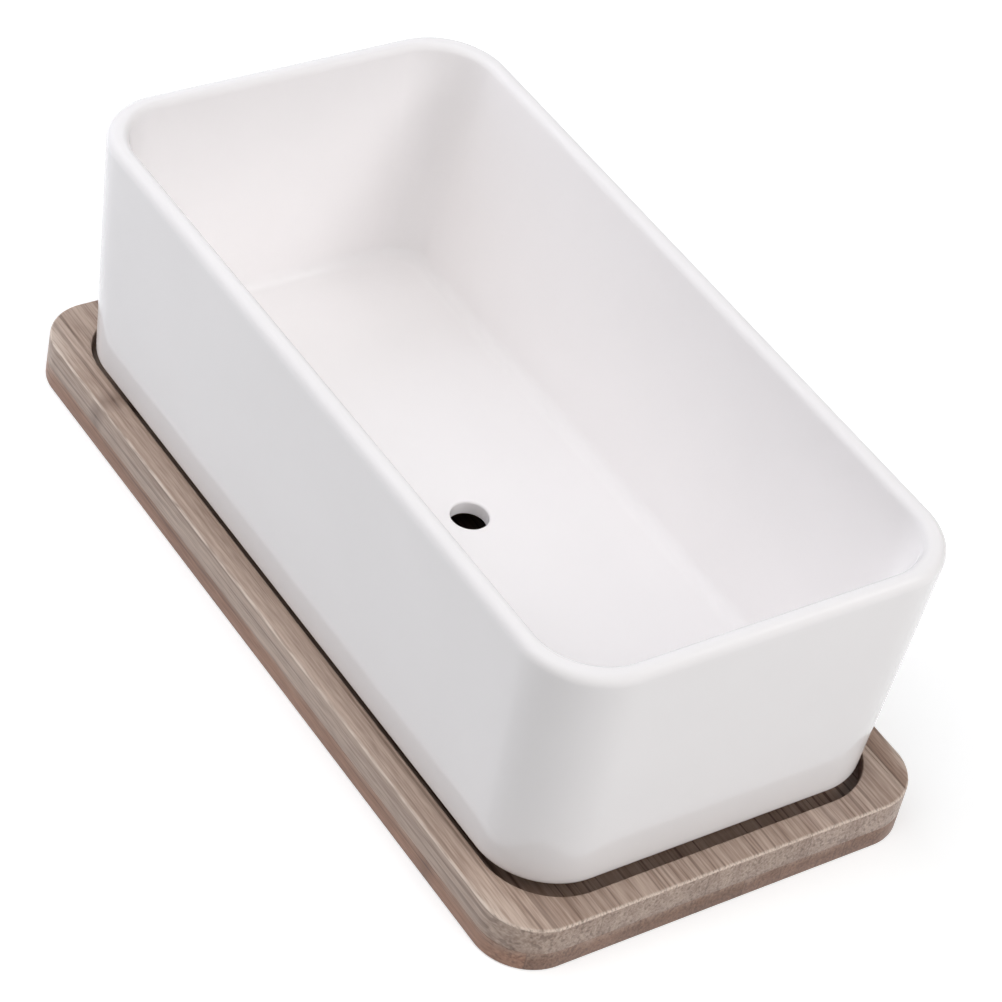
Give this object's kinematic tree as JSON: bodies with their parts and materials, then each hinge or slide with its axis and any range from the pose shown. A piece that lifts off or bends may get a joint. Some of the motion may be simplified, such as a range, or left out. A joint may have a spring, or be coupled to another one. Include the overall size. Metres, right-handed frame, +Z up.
{
  "type": "herb planter",
  "caption": "Rectangular white glazed ceramic planter with rounded corners and a drain hole, standing on its foot ring in the recess of a laminated bamboo drip tray.",
  "frame": {"origin": "middle of the tray's underside", "axes": "+X along the planter's length, +Y across it, +Z up out of the pot's mouth"},
  "size_m": [0.19, 0.0974, 0.068],
  "materials": {
    "glazed_stoneware": "gloss",
    "bamboo_top": "satin",
    "bamboo_bottom": "satin"
  },
  "bodies": {
    "tray": {"tray_top_strip_1": "bamboo_top", "tray_top_strip_2": "bamboo_top", "tray_top_strip_3": "bamboo_top", "tray_top_strip_4": "bamboo_top", "tray_top_strip_5": "bamboo_top", "tray_bottom_strip_1": "bamboo_bottom", "tray_bottom_strip_2": "bamboo_bottom", "tray_bottom_strip_3": "bamboo_bottom", "tray_bottom_strip_4": "bamboo_bottom", "tray_bottom_strip_5": "bamboo_bottom"},
    "pot": {"pot": "glazed_stoneware"}
  },
  "joints": [
    {"name": "pot_lift", "type": "slide", "parent": "tray", "child": "pot", "axis": [0, 0, 1], "range_m": [0, 0.08]}
  ]
}
